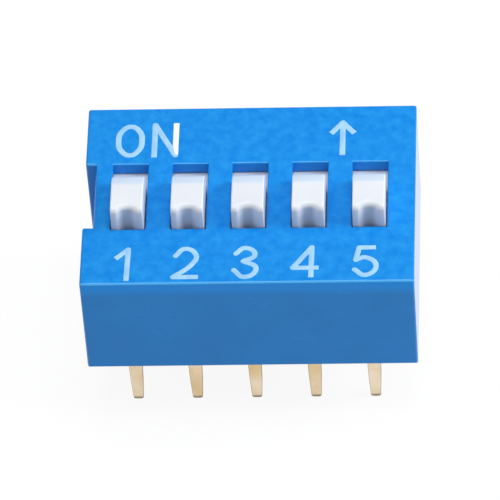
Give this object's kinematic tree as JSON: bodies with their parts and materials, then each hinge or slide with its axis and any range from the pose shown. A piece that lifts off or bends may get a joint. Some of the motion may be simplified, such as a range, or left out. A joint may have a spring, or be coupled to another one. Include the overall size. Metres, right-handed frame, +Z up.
{
  "type": "dip switch",
  "caption": "Through-hole slide DIP switch: blue box cover with a row of windows, a white slider in each, and two rows of flat tapered pins.",
  "frame": {"origin": "centre of the seating plane, where the rim of the cover stands on the circuit board", "axes": "+X along the row from position 1 to position 5, +Y to the ON side, +Z up from the board"},
  "size_m": [0.014, 0.0098, 0.0099],
  "materials": {
    "cover_plastic": "satin",
    "base_plastic": "matte",
    "slider_plastic": "satin",
    "spring_bronze": "satin",
    "plated_brass": "satin"
  },
  "bodies": {
    "housing": {"cover": "cover_plastic", "base": "base_plastic", "terminal_off_side_1": "plated_brass", "terminal_off_side_2": "plated_brass", "terminal_off_side_3": "plated_brass", "terminal_off_side_4": "plated_brass", "terminal_off_side_5": "plated_brass", "terminal_on_side_1": "plated_brass", "terminal_on_side_2": "plated_brass", "terminal_on_side_3": "plated_brass", "terminal_on_side_4": "plated_brass", "terminal_on_side_5": "plated_brass"},
    "slide_1": {"slider_1": "slider_plastic", "contact_spring_1": "spring_bronze"},
    "slide_2": {"slider_2": "slider_plastic", "contact_spring_2": "spring_bronze"},
    "slide_3": {"slider_3": "slider_plastic", "contact_spring_3": "spring_bronze"},
    "slide_4": {"slider_4": "slider_plastic", "contact_spring_4": "spring_bronze"},
    "slide_5": {"slider_5": "slider_plastic", "contact_spring_5": "spring_bronze"}
  },
  "joints": [
    {"name": "switch_1_slide", "type": "slide", "parent": "housing", "child": "slide_1", "axis": [0, 1, 0], "range_m": [0, 0.00105]},
    {"name": "switch_2_slide", "type": "slide", "parent": "housing", "child": "slide_2", "axis": [0, 1, 0], "range_m": [0, 0.00105]},
    {"name": "switch_3_slide", "type": "slide", "parent": "housing", "child": "slide_3", "axis": [0, 1, 0], "range_m": [0, 0.00105]},
    {"name": "switch_4_slide", "type": "slide", "parent": "housing", "child": "slide_4", "axis": [0, 1, 0], "range_m": [0, 0.00105]},
    {"name": "switch_5_slide", "type": "slide", "parent": "housing", "child": "slide_5", "axis": [0, 1, 0], "range_m": [0, 0.00105]}
  ]
}
